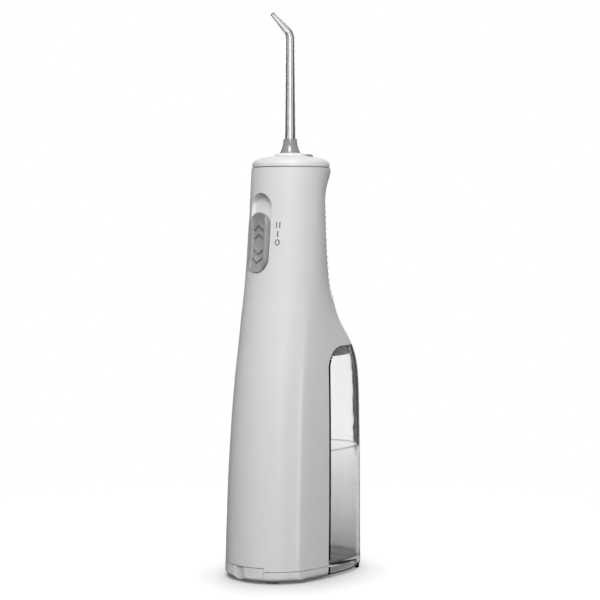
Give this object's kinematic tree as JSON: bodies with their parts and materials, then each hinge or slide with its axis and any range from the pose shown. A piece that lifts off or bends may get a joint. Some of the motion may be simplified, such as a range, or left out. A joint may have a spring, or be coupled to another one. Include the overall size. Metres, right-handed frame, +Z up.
{
  "type": "cordless water flosser",
  "caption": "Tall cordless water flosser: a tapered handle with a thumb slider, a clear water tank that slides off its back and a clear bent jet tip on a domed cap.",
  "frame": {"origin": "under the middle of the body's box, on the surface the flosser stands on", "axes": "+Z up along the handle, -Y towards the front with the thumb slider, +Y towards the water tank, +X to the user's left when the front faces them"},
  "size_m": [0.0528, 0.0807, 0.2946],
  "materials": {
    "white_plastic": "satin moulded, fine texture",
    "grey_plastic": "satin",
    "clear_tank": "clear moulded plastic, polished, smoky at the foot",
    "clear_tip": "clear moulded plastic, polished",
    "black_rubber": "matte",
    "inner_plastic": "natural",
    "gear_plastic": "natural acetal",
    "steel": "plated",
    "spring_steel": "nickel plated",
    "cell_wrap": "printed film, plain",
    "board": "solder mask",
    "board_parts": "moulded",
    "reed_glass": "glass"
  },
  "bodies": {
    "handle": {"housing": "white_plastic", "grip_ribs": "white_plastic", "top_cap": "white_plastic", "outlet_block": "inner_plastic", "control_board": "board", "reed_switches": "reed_glass", "board_parts": "board_parts", "motor": "steel", "gear_axle": "steel", "gear_plate": "inner_plastic", "motor_frame": "inner_plastic", "frame_screws": "steel", "pump_cylinder": "inner_plastic", "pump_head": "inner_plastic", "inlet_valve": "black_rubber", "outlet_valve": "black_rubber", "suction_tube": "inner_plastic", "inlet_filter": "inner_plastic", "delivery_tube": "inner_plastic", "battery_tray": "inner_plastic", "battery_1": "cell_wrap", "battery_2": "cell_wrap", "battery_3": "cell_wrap", "contact_plate": "inner_plastic", "battery_contacts": "spring_steel", "door_hinge_pin": "steel", "reservoir_seal": "black_rubber", "eject_spring": "spring_steel"},
    "seat": {"tip_seat": "grey_plastic"},
    "tip": {"jet_tip": "clear_tip", "tip_base": "grey_plastic", "stem_ring": "black_rubber"},
    "button": {"eject_button": "grey_plastic"},
    "tip_lock": {"tip_latch": "inner_plastic"},
    "slider": {"switch_slider": "grey_plastic", "slider_magnet": "steel"},
    "rotor": {"motor_shaft": "steel", "motor_pinion": "gear_plastic"},
    "crank": {"crank_gear": "gear_plastic"},
    "yoke": {"piston_yoke": "gear_plastic", "piston": "inner_plastic", "piston_seal": "black_rubber"},
    "door": {"battery_door": "white_plastic", "door_gasket": "black_rubber", "door_feet": "black_rubber", "battery_springs": "spring_steel", "latch_spring": "spring_steel"},
    "latch": {"door_latch": "white_plastic"},
    "tank": {"reservoir": "clear_tank"}
  },
  "joints": [
    {"name": "tip_turn", "type": "hinge", "parent": "handle", "child": "seat", "pos_m": [0, -0.0036, 0.2176], "axis": [0, 0, 1], "continuous": true},
    {"name": "tip_pull", "type": "slide", "parent": "seat", "child": "tip", "axis": [0, 0, 1], "range_m": [0, 0.025]},
    {"name": "eject_press", "type": "slide", "parent": "handle", "child": "button", "axis": [0, 0, -1], "range_m": [0, 0.0015], "stiffness_N_per_m": 300, "deforming": ["eject_spring"]},
    {"name": "tip_lock_slide", "type": "slide", "parent": "handle", "child": "tip_lock", "axis": [0, -1, 0], "range_m": [0, 0.0012]},
    {"name": "switch_slide", "type": "slide", "parent": "handle", "child": "slider", "axis": [0, 0.0767, 0.9971], "range_m": [0, 0.0092]},
    {"name": "motor_spin", "type": "hinge", "parent": "handle", "child": "rotor", "pos_m": [0, -0.0192, 0.12], "axis": [0, 0, 1], "continuous": true},
    {"name": "crank_spin", "type": "hinge", "parent": "handle", "child": "crank", "pos_m": [0, -0.0066, 0.124], "axis": [0, 0, 1], "continuous": true},
    {"name": "pump_stroke", "type": "slide", "parent": "handle", "child": "yoke", "axis": [0, 1, 0], "range_m": [-0.0025, 0.0025]},
    {"name": "door_swing", "type": "hinge", "parent": "handle", "child": "door", "pos_m": [0, -0.00214, 0.0023], "axis": [1, 0, 0], "range_deg": [0, 85]},
    {"name": "latch_press", "type": "slide", "parent": "door", "child": "latch", "axis": [0, 1, 0], "range_m": [0, 0.0015], "stiffness_N_per_m": 250, "deforming": ["latch_spring"]},
    {"name": "tank_slide", "type": "slide", "parent": "handle", "child": "tank", "axis": [0, 0, -1], "range_m": [0, 0.13]}
  ],
  "couplings": [
    {"joint": "tip_lock_slide", "follows": "eject_press", "ratio": 0.8},
    {"joint": "motor_spin", "follows": "crank_spin", "ratio": -4}
  ]
}
